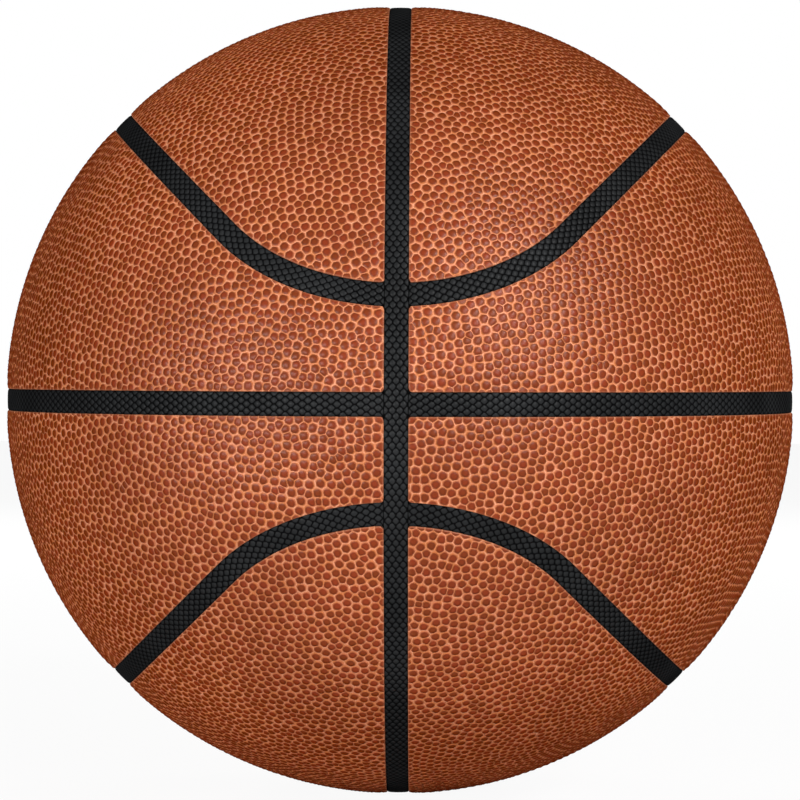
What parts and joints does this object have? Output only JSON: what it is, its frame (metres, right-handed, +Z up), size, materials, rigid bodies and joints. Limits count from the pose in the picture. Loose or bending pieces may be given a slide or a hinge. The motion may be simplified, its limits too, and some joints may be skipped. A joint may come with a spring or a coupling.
{
  "type": "basketball",
  "caption": "Inflatable basketball: pebbled composite-leather panels with black rubber seam strips over a wound carcass and bladder, with a removable needle valve core.",
  "frame": {"origin": "centre of the ball", "axes": "+Z up, -Y towards the front where the vertical and middle seams cross, +X to the right seen from the front"},
  "size_m": [0.2398, 0.2396, 0.2398],
  "materials": {
    "cover": "satin",
    "sponge": "matte",
    "seam_rubber": "matte",
    "carcass_rubber": "matte",
    "nylon_thread": "matte",
    "bladder_rubber": "satin",
    "valve_rubber": "matte"
  },
  "bodies": {
    "ball": {"cover_panel_top_left": "cover", "cover_panel_top_right": "cover", "cover_panel_upper_left": "cover", "cover_panel_upper_right": "cover", "cover_panel_lower_left": "cover", "cover_panel_lower_right": "cover", "cover_panel_bottom_left": "cover", "cover_panel_bottom_right": "cover", "panel_backing_top_left": "sponge", "panel_backing_top_right": "sponge", "panel_backing_upper_left": "sponge", "panel_backing_upper_right": "sponge", "panel_backing_lower_left": "sponge", "panel_backing_lower_right": "sponge", "panel_backing_bottom_left": "sponge", "panel_backing_bottom_right": "sponge", "seam_strip_vertical": "seam_rubber", "seam_strip_upper_left": "seam_rubber", "seam_strip_upper_right": "seam_rubber", "seam_strip_middle_left": "seam_rubber", "seam_strip_middle_right": "seam_rubber", "seam_strip_lower_left": "seam_rubber", "seam_strip_lower_right": "seam_rubber", "carcass": "carcass_rubber", "thread_winding": "nylon_thread", "bladder": "bladder_rubber", "valve_housing": "valve_rubber"},
    "valve_core": {"valve_core": "valve_rubber"}
  },
  "joints": [
    {"name": "valve_core_pull", "type": "slide", "parent": "ball", "child": "valve_core", "axis": [-0.683, 0.683, 0.2588], "range_m": [0, 0.02]}
  ]
}
